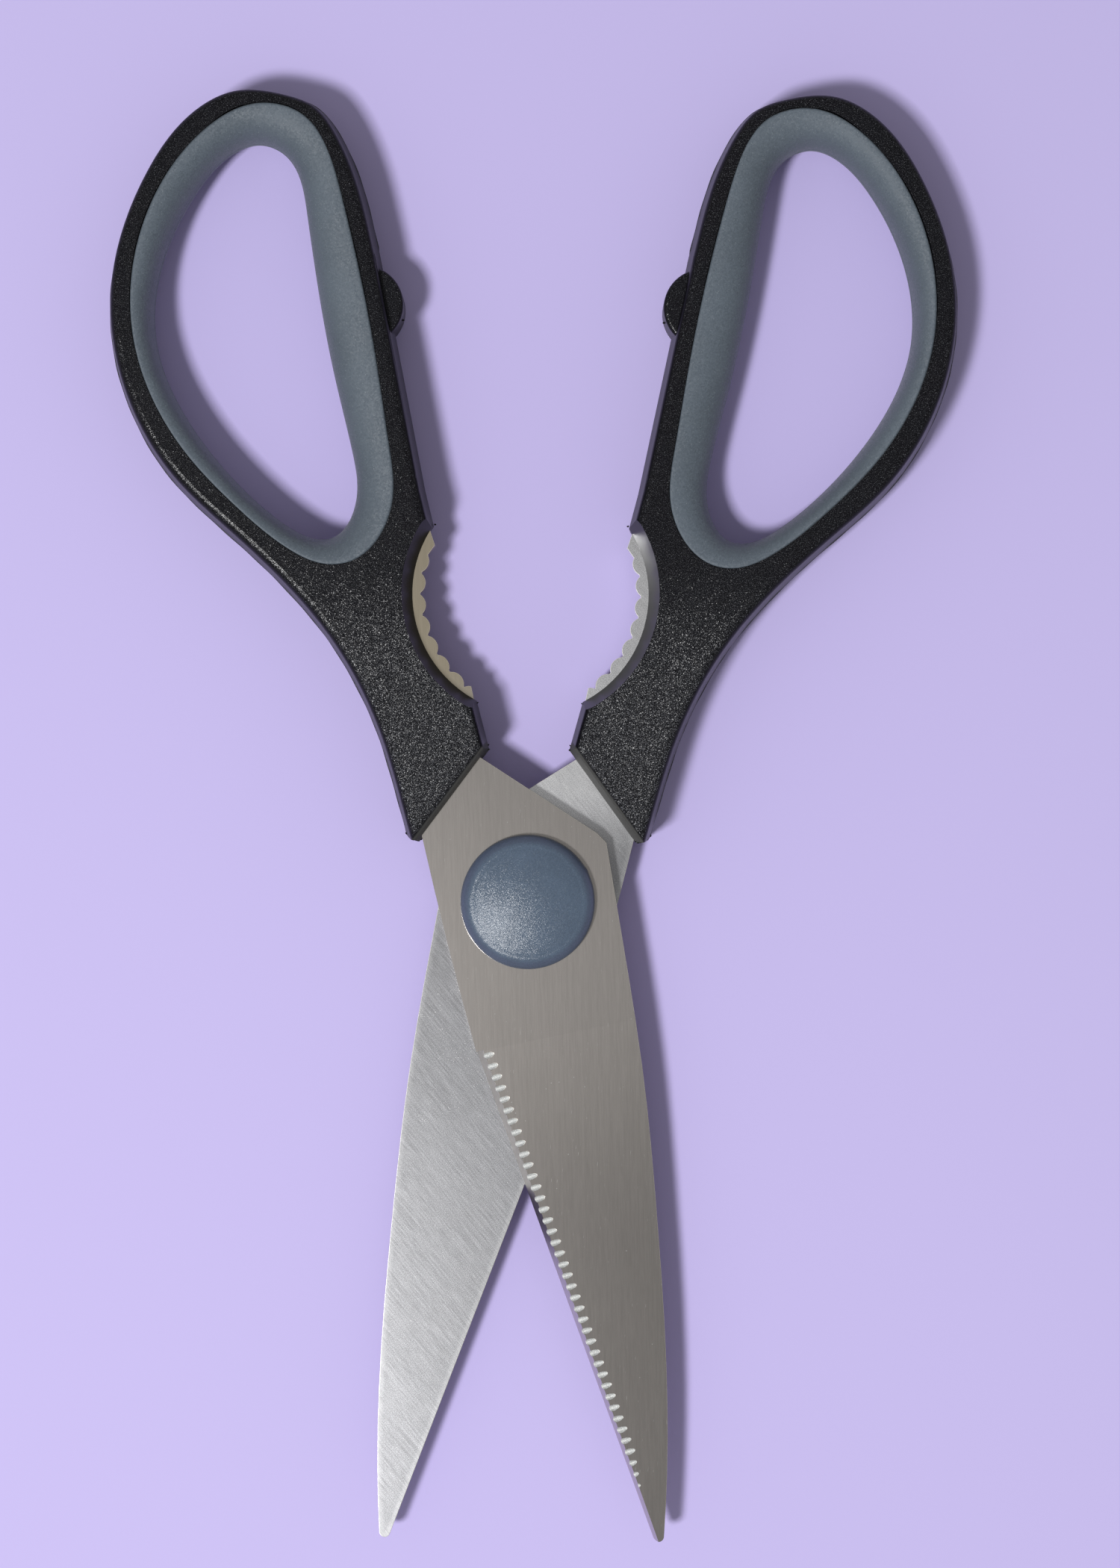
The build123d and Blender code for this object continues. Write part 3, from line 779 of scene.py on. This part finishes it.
@dataclass
class FingerLoop:
    """The soft lining of one half's finger loop, drawn closed in shares of the handle's span and reach."""

    half: Half
    finish: bpy.types.Material
    span: float = 42.0
    reach: float = 121.0
    half_height: float = 5.9
    bulge: float = 2.3
    edge_round: float = 0.38
    wall_half: float = 3.5
    rib_half: float = 1.2
    rib_share: float = 0.4
    flash: float = 0.06
    flash_breadth: float = 0.12
    per_span: int = 26
    seam: tuple[Pair, ...] = (
        (-0.352, 0.975), (-0.212, 0.954), (-0.131, 0.855), (-0.129, 0.645), (-0.143, 0.554),
        (-0.176, 0.484), (-0.348, 0.430), (-0.440, 0.433), (-0.543, 0.457), (-0.695, 0.521),
        (-0.819, 0.591), (-0.914, 0.740), (-0.662, 0.926), (-0.512, 0.962),
    )
    opening: tuple[Pair, ...] = (
        (-0.376, 0.936), (-0.295, 0.917), (-0.262, 0.843), (-0.281, 0.645), (-0.274, 0.554),
        (-0.293, 0.504), (-0.400, 0.465), (-0.467, 0.469), (-0.531, 0.485), (-0.643, 0.531),
        (-0.752, 0.595), (-0.850, 0.740), (-0.595, 0.903), (-0.483, 0.930),
    )

    def section(self) -> tuple[np.ndarray, np.ndarray]:
        """The lining's section: share of the way from seam to opening, and height in millimetres.

        Formula: a superellipse, the cosine and sine of an angle from straight up to straight down each raised
        to two over the bulge; then back up the seam wall, round the rib's groove.

        Returns:
            The shares and the heights, point by point round the section.
        """
        near_seam = np.array([0.0, 0.25, 0.6, 1.1, 1.8, 2.8, 4.2, 6.0])
        near_middle = np.array([0.25, 0.55, 1.0, 2.2])
        upper = np.concatenate([near_seam, np.arange(9.0, 85.0, 4.0), 90.0 - near_middle[::-1]])
        angle = np.radians(90.0 - np.concatenate([upper, [90.0], 180.0 - upper[::-1]]))
        power = 2.0 / self.bulge
        share = np.maximum(np.cos(angle), 0.0) ** power
        height = self.half_height * np.sign(np.sin(angle)) * np.abs(np.sin(angle)) ** power
        share[[0, -1]] = 0.0
        rib, end = self.rib_half, self.wall_half
        wall = np.array([-end, -rib, -rib, rib, rib, end])
        groove = np.array([0.0, 0.0, self.rib_share, self.rib_share, 0.0, 0.0])
        return np.concatenate([share, groove]), np.concatenate([height, wall])

    def skin(self) -> Skin:
        """The section carried round the loop.

        Formula: a point lies its share of the way from the seam's spline to the opening's; within the edge
        radius of the seam it drops along a quarter circle, and a fine flash line stands on the inner wall as
        a Gaussian of the height.

        Returns:
            The closed surface, where the half lies.
        """
        scale = np.array([self.span, self.reach])
        outer = spline_points(np.array(self.seam) * scale, self.per_span, True)
        inner = spline_points(np.array(self.opening) * scale, self.per_span, True)
        width = np.linalg.norm(inner - outer, axis=1)[:, None]
        share, height = self.section()
        depth = width * share[None, :]
        inside = np.clip(self.edge_round - depth, 0.0, None)
        drop = self.edge_round - np.sqrt(np.maximum(self.edge_round**2 - inside**2, 0.0))
        on_face = np.abs(height)[None, :] > self.wall_half
        level = height[None, :] - np.sign(height)[None, :] * drop * on_face
        line = self.flash * np.exp(-((height / self.flash_breadth) ** 2)) * (share > 0.9)
        away = (depth + line[None, :]) / width
        flat = outer[:, None, :] + (inner - outer)[:, None, :] * away[:, :, None]
        drawn = np.concatenate([flat, np.broadcast_to(level, away.shape)[:, :, None]], -1)
        points = Lie(self.half).placed(drawn).reshape(-1, 3)
        return Skin(points, [grid_faces(*away.shape, True)]).outwards()

    def build(self) -> bpy.types.Object:
        """Builds the lining and puts it in its plain solid's place.

        Returns:
            The lining.
        """
        made = self.skin().piece(self.half.node("finger_loop"))
        dress(made, self.finish)
        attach(made, self.half.body)
        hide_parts(self.half.node("grip"))
        return made


@dataclass
class HandleTrim:
    """What the mould leaves on one handle: its parting line and small nibs of flash at the corners."""

    half: Half
    line_finish: bpy.types.Material
    nib_finish: bpy.types.Material
    span: float = 42.0
    reach: float = 121.0
    corner: Pair = (-13.465, 13.218)
    corner_radius: float = 1.5
    corner_turn: Pair = (-48.4, -174.0)
    corner_steps: int = 18
    wall_from: int = 10
    proud: float = 0.07
    broad: float = 0.16
    sunk: float = 0.3
    taper_run: float = 1.5
    nib_girth: float = 0.58
    nib_root: float = 0.35
    per_span: int = 24
    outline: tuple[Pair, ...] = (
        (-0.352, 0.083), (-0.363, 0.149), (-0.379, 0.215), (-0.483, 0.347), (-0.750, 0.496),
        (-0.881, 0.562), (-0.974, 0.793), (-0.767, 0.927), (-0.607, 0.978), (-0.410, 1.000),
        (-0.243, 0.983), (-0.152, 0.962), (-0.098, 0.926), (-0.052, 0.826), (-0.049, 0.777),
    )
    corner_rows: tuple[Place, ...] = (
        (-56.0, 0.26, 0.5), (-69.0, 0.34, -0.2), (-84.0, 0.40, 0.3), (-97.0, 0.30, 0.1),
        (-118.0, 0.24, 0.4), (-141.0, 0.20, -0.3), (-166.0, 0.30, 0.2),
    )

    def path(self) -> np.ndarray:
        """The handle's outline at mid height, from the end face round the loop to the stop bump.

        Formula: an arc about the lower corner's middle, then the rest of the spline through the knots.

        Returns:
            The points, in the closed drawing.
        """
        scale = np.array([self.span, self.reach])
        wall = spline_points(np.array(self.outline) * scale, self.per_span, False)[self.wall_from:]
        turn = np.radians(np.linspace(*self.corner_turn, self.corner_steps))
        arc = np.array(self.corner) + self.corner_radius * np.stack([np.cos(turn), np.sin(turn)], -1)
        return np.concatenate([arc, wall])

    def corner_nibs(self) -> list[Nib]:
        """Burrs that lie along the rounded corner, each leaning a little outwards.

        Returns:
            The foot, lean and seed of each.
        """
        made = []
        for turn, length, height in self.corner_rows:
            angle = math.radians(turn)
            x, y = math.cos(angle), math.sin(angle)
            foot = (self.corner[0] + self.corner_radius * x, self.corner[1] + self.corner_radius * y, height)
            lean = (length * (y + 0.3 * x), length * (0.3 * y - x), 0.1 * length)
            made.append((foot, lean, 0.1 * abs(turn)))
        return made

    def line_skin(self) -> Skin:
        """The parting line: a fine ridge along the outline.

        Formula: a teardrop section, its width the sine of the way round and its depth between sunk and proud,
        set out along the outline's normal; it tapers to nothing over its first and last millimetres.

        Returns:
            The closed surface, where the half lies.
        """
        path = self.path()
        along = np.gradient(path, axis=0)
        along /= np.linalg.norm(along, axis=1)[:, None]
        out = np.stack([-along[:, 1], along[:, 0]], -1)
        run = np.concatenate([[0.0], np.cumsum(np.linalg.norm(np.diff(path, axis=0), axis=1))])
        taper = np.clip(np.minimum(run, run[-1] - run) / self.taper_run, 0.02, 1.0)[:, None]
        waver = 1.0 + 0.25 * np.sin(run / 3.1)[:, None] * np.sin(run / 1.3 + 1.0)[:, None]
        turn = np.linspace(0.0, 2.0 * np.pi, 10, endpoint=False)[None, :]
        middle = (self.proud - self.sunk) / 2.0
        depth = middle + (self.proud - middle) * np.cos(turn) * (1.0 + (waver - 1.0) * (np.cos(turn) > 0))
        height = self.broad / 2.0 * np.sin(turn) * taper
        depth = middle + (depth - middle) * taper
        flat = path[:, None, :] + out[:, None, :] * depth[:, :, None]
        drawn = np.concatenate([flat, np.broadcast_to(height, depth.shape)[:, :, None]], -1)
        rings = Lie(self.half).placed(drawn)
        return capped_skin(rings, rings[0].mean(0), rings[-1].mean(0))

    def nib_skin(self, foot: Place, lean: Place, seed: float) -> Skin:
        """One nib of flash.

        Formula: an egg along its lean, its half width the square root of a parabola in the way along, made
        uneven by a sine of the way round.

        Args:
            foot: Where it grows from, in the closed drawing, in millimetres.
            lean: Its direction and length, in millimetres.
            seed: Shifts the unevenness.

        Returns:
            The closed surface, where the half lies.
        """
        axis = np.array(lean)
        length = float(np.linalg.norm(axis))
        axis = axis / length
        side = np.cross(axis, (0.0, 0.0, 1.0))
        side /= np.linalg.norm(side)
        other = np.cross(axis, side)
        t = np.linspace(0.08, 0.94, 9)[:, None]
        turn = np.linspace(0.0, 2.0 * np.pi, 12, endpoint=False)[None, :]
        uneven = 1.0 + 0.28 * np.sin(3.0 * turn + seed + 4.0 * t) + 0.15 * np.sin(5.0 * turn - seed)
        girth = self.nib_girth * length * np.sqrt(np.maximum(t * (1.0 - t) * 2.2 * (1.25 - t), 0.0)) * uneven
        start = np.array(foot) - axis * length * self.nib_root
        reach = length * (1.0 + self.nib_root)
        drawn = (
            start
            + axis * (reach * t)[:, :, None]
            + side * (girth * np.cos(turn))[:, :, None]
            + other * (0.75 * girth * np.sin(turn))[:, :, None]
        )
        lie = Lie(self.half)
        return capped_skin(lie.placed(drawn), lie.placed(start), lie.placed(start + axis * reach))

    def build(self) -> list[bpy.types.Object]:
        """Builds the parting line and the nibs, both on the handle's own body.

        Returns:
            The parting line, then the nibs.
        """
        line = self.line_skin().piece(self.half.node("parting_line"))
        up = self.half.side
        first, *others = (
            ((-2.15, 55.2, 0.3 * up), (0.20, -0.12, 0.22 * up), 0.4),
            ((-1.12, 22.30, 0.9 * up), (0.24, -0.08, 0.14 * up), 1.7),
            ((-1.02, 22.9, 0.2 * up), (0.17, 0.12, 0.06 * up), 3.3),
            ((-1.30, 29.1, 0.2 * up), (0.16, 0.08, 0.10 * up), 2.9),
            ((-0.83, 84.6, 0.5 * up), (0.33, -0.19, 0.08 * up), 0.9),
            *self.corner_nibs(),
        )
        nibs = self.nib_skin(*first)
        for row in others:
            nibs = nibs.joined(self.nib_skin(*row))
        flash = nibs.piece(self.half.node("flash_nibs"))
        for made, finish in ((line, self.line_finish), (flash, self.nib_finish)):
            dress(made, finish)
            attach(made, self.half.body)
        return [line, flash]


@dataclass
class PivotCap:
    """A round cap over one end of the pivot, open inside, with a crowned or a flat face within its crease."""

    side: Half
    finish: bpy.types.Material
    radius: float = 9.5
    crease: float = 7.8
    seat: float = 8.6
    skirt: float = 0.7
    crown: float = 0.95
    crease_depth: float = 0.03
    rim: tuple[Pair, ...] = ((0.0, 0.22), (-0.02, 0.08), (-0.10, 0.0), (-0.82, 0.0))
    cavity: tuple[Pair, ...] = (
        (8.6, 8.68), (8.6, 9.6), (8.35, 10.1), (7.6, 10.7), (6.75, 11.1), (5.0, 11.12), (2.0, 11.12),
    )
    flash: float = 0.09
    flash_turn: float = 29.0
    flash_breadth: float = 0.045
    around: int = 180

    def profile(self) -> tuple[np.ndarray, np.ndarray]:
        """Radius and height of the cap's outside and cavity, from the crown's middle round to the cavity's.

        Formula: the crown falls with the square of the radius; a Gaussian dip makes the crease; the shoulder
        is part of an ellipse that takes over the crown's slope and ends upright at the skirt.

        Returns:
            The radii and the heights above the table, in millimetres.
        """
        inside = np.concatenate([np.linspace(0.35, 6.6, 14), np.linspace(6.9, self.crease, 7)])
        fall = self.crown * (inside / self.crease) ** 2
        dip = self.crease_depth * np.exp(-(((inside - self.crease) / 0.3) ** 2))
        crown_height = THICKNESS - fall - dip
        shoulder_top = THICKNESS - self.crown
        low = self.seat + self.skirt
        broad, tall = self.radius - self.crease, shoulder_top - low
        steep = 2.0 * self.crown / self.crease * broad / tall
        sine = steep / (1.0 - steep)
        angle = np.linspace(math.asin(sine), math.pi / 2, 20)[1:]
        shoulder_radius = self.radius - broad / (1.0 - sine) * (1.0 - np.sin(angle))
        shoulder_height = low + tall / math.sqrt(1.0 - sine**2) * np.cos(angle)
        rim = np.array(self.rim) + (self.radius, self.seat)
        hollow = np.array(self.cavity)
        radii = np.concatenate([inside, shoulder_radius, rim[:, 0], hollow[:, 0]])
        heights = np.concatenate([crown_height, shoulder_height, rim[:, 1], hollow[:, 1]])
        return radii, heights

    def skin(self) -> Skin:
        """The profile turned about the pivot, with a small burr of flash on the skirt.

        Formula: each profile point goes round a circle; on the outer wall the radius grows by a Gaussian of
        the turn from the burr's place. The rear cap is mirrored in height.

        Returns:
            The closed surface, in metres.
        """
        radii, heights = self.profile()
        turn = np.linspace(0.0, 2.0 * np.pi, self.around, endpoint=False)[None, :]
        from_burr = np.angle(np.exp(1j * (turn - math.radians(self.flash_turn))))
        on_wall = (radii > self.radius - 0.03)[:, None]
        burr = self.flash * np.exp(-((from_burr / self.flash_breadth) ** 2)) * on_wall
        reach = radii[:, None] + burr
        level = np.broadcast_to(heights[:, None], reach.shape)
        if self.side is Half.REAR:
            level = THICKNESS - level
        rings = np.stack([reach * np.cos(turn), reach * np.sin(turn), level], -1) * MM
        first = np.array([0.0, 0.0, level[0, 0] * MM])
        last = np.array([0.0, 0.0, level[-1, 0] * MM])
        return capped_skin(rings, first, last)

    def build(self) -> bpy.types.Object:
        """Builds the cap and puts it in its plain solid's place; both caps stay with the rear half.

        Returns:
            The cap.
        """
        made = self.skin().piece(self.side.node("pivot_cap"), 50.0)
        dress(made, self.finish)
        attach(made, "rear_half")
        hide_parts(f"{self.side.value}_cap")
        return made


@dataclass
class MetalWork:
    """The steel pieces that come from the frame as they are: two blades and the pivot's stack."""

    front_steel: GroundSteel
    rear_steel: GroundSteel
    turned: TurnedSteel
    stack: tuple[str, ...] = ("pivot_screw", "thrust_washer", "disc_spring", "pivot_nut")

    def build(self) -> list[str]:
        """Dresses the blades and the pivot's stack.

        Returns:
            The names of the dressed pieces.
        """
        finishes = {"front_blade": self.front_steel.material(), "rear_blade": self.rear_steel.material()}
        finishes.update(dict.fromkeys(self.stack, self.turned.material()))
        for name, finish in finishes.items():
            dress(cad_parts[name], finish)
        return list(finishes)


@dataclass
class Studio:
    """A pale floor, one soft key light from the lower left, an even surround, and the camera overhead."""

    floor_half: float = 3.0
    key_place: Place = (-0.40, -0.31, 1.06)
    key_size: float = 0.17
    key_power: float = 10.8
    horizon: float = 0.42
    overhead: float = 0.27
    camera_place: Place = (0.004418, 0.016739, 0.500)
    camera_roll: float = 0.575
    lens: float = 53.11
    film_height: float = 24.0

    def floor(self) -> None:
        """The floor: a square of paper at the table's height."""
        reach = self.floor_half
        square = [(-reach, -reach, 0.0), (reach, -reach, 0.0), (reach, reach, 0.0), (-reach, reach, 0.0)]
        mesh = bpy.data.meshes.new("floor")
        mesh.from_pydata(square, [], [(0, 1, 2, 3)])
        made = linked("floor", mesh)
        dress(made, PalePaper().material())

    def key_light(self) -> None:
        """A square softbox turned towards the shears."""
        lamp = bpy.data.lights.new("key_softbox", "AREA")
        lamp.shape = "SQUARE"
        lamp.size = self.key_size
        lamp.energy = self.key_power
        made = linked("key_softbox", lamp)
        x, y, z = self.key_place
        made.location = self.key_place
        made.rotation_euler = (math.atan2(math.hypot(x, y), z), 0.0, math.atan2(y, x) + math.pi / 2)

    def surroundings(self) -> None:
        """A neutral world, a little dimmer straight overhead than at the horizon."""
        world = bpy.data.worlds.new("studio_surround")
        world.use_nodes = True
        tree = world.node_tree
        towards = tree.nodes.new("ShaderNodeTexCoord")
        split = tree.nodes.new("ShaderNodeSeparateXYZ")
        level = tree.nodes.new("ShaderNodeMapRange")
        tree.links.new(towards.outputs["Generated"], split.inputs[0])
        tree.links.new(split.outputs[2], level.inputs[0])
        for socket, bound in zip(level.inputs[1:5], (0.2, 1.0, self.horizon, self.overhead)):
            socket.default_value = bound
        background = tree.nodes["Background"]
        background.inputs["Color"].default_value = (1.0, 1.0, 1.0, 1.0)
        tree.links.new(level.outputs[0], background.inputs["Strength"])
        bpy.context.scene.world = world

    def camera(self) -> None:
        """The camera, straight above and turned a little, framing the upright picture."""
        eye = bpy.data.cameras.new("overhead_camera")
        eye.sensor_fit = "VERTICAL"
        eye.sensor_height = self.film_height
        eye.lens = self.lens
        eye.clip_start = 0.01
        made = linked("overhead_camera", eye)
        made.location = self.camera_place
        made.rotation_euler = (0.0, 0.0, math.radians(self.camera_roll))
        bpy.context.scene.camera = made

    def build(self) -> None:
        """Sets the floor, the light, the surround, the camera and the plain view."""
        self.floor()
        self.key_light()
        self.surroundings()
        self.camera()
        bpy.context.scene.view_settings.view_transform = "Standard"


def main() -> None:
    """Builds the studio and each part of the shears in order, and reports every piece."""
    logging.basicConfig(level=logging.INFO, format="%(message)s")
    Studio().build()
    rubber = SoftRubber().material()
    cap_plastic = SpeckledCap().material()
    # painted highlight: the parting line is made paler than the black walls
    parting_flash = FlashPlastic("handle_plastic_parting", (0.040, 0.040, 0.050)).material()
    nib_flash = FlashPlastic("handle_plastic_nibs", (0.008, 0.008, 0.010)).material()
    front_steel = GroundSteel(
        "front_steel_ground", base=(0.51, 0.475, 0.448), tang=(0.60, 0.525, 0.40), grain_turn=2.0,
        contrast=0.022, roughness=0.225, gloss_spread=0.005, relief=0.022, scratches=0.50, line_width=0.08,
        line_length=2.6, mottle=0.006, painted_tip_shade=0.42,
        keen=((-6.06, -24.0, 20.54, 1.6), (-11.79, -4.0, 14.46, 0.8)),
    )
    rear_steel = GroundSteel(
        "rear_steel_ground", base=(0.405, 0.405, 0.42), tang=(0.88, 0.88, 0.895), grain_turn=40.0,
        contrast=0.07, roughness=0.24, gloss_spread=0.016, relief=0.07, scratches=0.60, line_width=0.075,
        line_length=2.0, mottle=0.20, painted_tip_shade=-0.06, tang_from=5.0, speck_size=0.50, sparkle=0.9,
        border=0.18, bright=(0.95, 0.95, 0.95),
    )
    for name in MetalWork(front_steel, rear_steel, TurnedSteel()).build():
        LOG.info("dressed %s", name)
    for half in Half:
        dress(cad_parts[half.node("handle")], SparkedPlastic(half).material())
        LOG.info("dressed %s", half.node("handle"))
        LOG.info("built %s", FingerLoop(half, rubber).build().name)
        for made in HandleTrim(half, parting_flash, nib_flash).build():
            LOG.info("built %s", made.name)
    rear_cap = PivotCap(Half.REAR, cap_plastic, seat=8.55, crown=0.0, crease_depth=0.1)
    for cap in (PivotCap(Half.FRONT, cap_plastic), rear_cap):
        LOG.info("built %s", cap.build().name)


if __name__ == "__main__":
    main()
